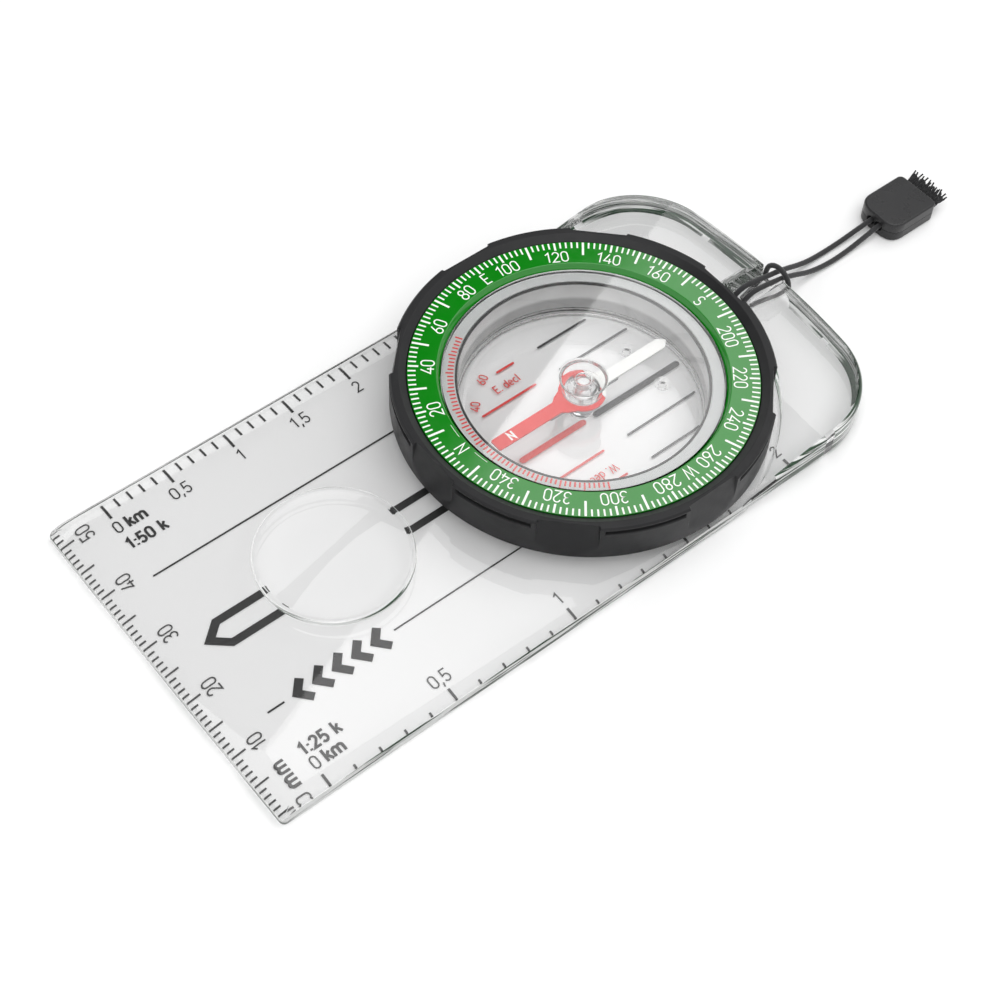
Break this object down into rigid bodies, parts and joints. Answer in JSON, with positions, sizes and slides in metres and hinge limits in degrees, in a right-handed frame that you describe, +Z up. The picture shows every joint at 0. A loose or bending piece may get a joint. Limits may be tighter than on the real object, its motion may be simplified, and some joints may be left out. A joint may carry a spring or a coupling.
{
  "type": "baseplate compass",
  "caption": "Clear rectangular baseplate with scales and a lens, a turning dial with a liquid capsule and magnetic needle, and a short corded lanyard joiner.",
  "frame": {"origin": "centre of the flat baseplate's underside, the lanyard left out", "axes": "+Z up through the dial, the travel arrow points to -Y, the lanyard leaves at +Y, X across the plate"},
  "size_m": [0.0542, 0.1429, 0.01],
  "materials": {
    "baseplate": "clear moulded acrylic",
    "friction_spring": "spring wire",
    "bezel_ring": "fine satin grain",
    "dial_ring": "gloss green with white print",
    "capsule_base": "clear plastic",
    "capsule_cover": "clear polished plastic",
    "capsule_seal": "soft grey gasket",
    "declination_ring": "clear plastic with red print",
    "retaining_ring": "satin",
    "fill_plug": "natural plastic",
    "vent_plug": "natural plastic",
    "pivot_pin": "polished needle point",
    "needle_blade": "red north half, white south half",
    "needle_magnet": "plain magnet steel",
    "needle_hub": "natural plastic",
    "needle_jewel": "synthetic ruby",
    "lanyard_cord": "thin braided cord",
    "joiner_base": "satin moulded shell",
    "joiner_lid": "satin moulded shell",
    "lanyard_ribbon": "woven tape with a ragged cut"
  },
  "bodies": {
    "plate": {"baseplate": "baseplate", "friction_spring": "friction_spring", "lanyard_cord": "lanyard_cord", "joiner_base": "joiner_base", "joiner_lid": "joiner_lid", "lanyard_ribbon": "lanyard_ribbon"},
    "housing": {"bezel_ring": "bezel_ring", "dial_ring": "dial_ring", "capsule_base": "capsule_base", "capsule_cover": "capsule_cover", "capsule_seal": "capsule_seal", "declination_ring": "declination_ring", "retaining_ring": "retaining_ring", "fill_plug": "fill_plug", "vent_plug": "vent_plug", "pivot_pin": "pivot_pin"},
    "needle": {"needle_blade": "needle_blade", "needle_magnet": "needle_magnet", "needle_hub": "needle_hub", "needle_jewel": "needle_jewel"}
  },
  "joints": [
    {"name": "dial_turn", "type": "hinge", "parent": "plate", "child": "housing", "pos_m": [0, 0.0168, 0.0045], "axis": [0, 0, 1], "continuous": true},
    {"name": "needle_swing", "type": "hinge", "parent": "housing", "child": "needle", "pos_m": [0, 0.0168, 0.0057], "axis": [0, 0, 1], "continuous": true}
  ]
}
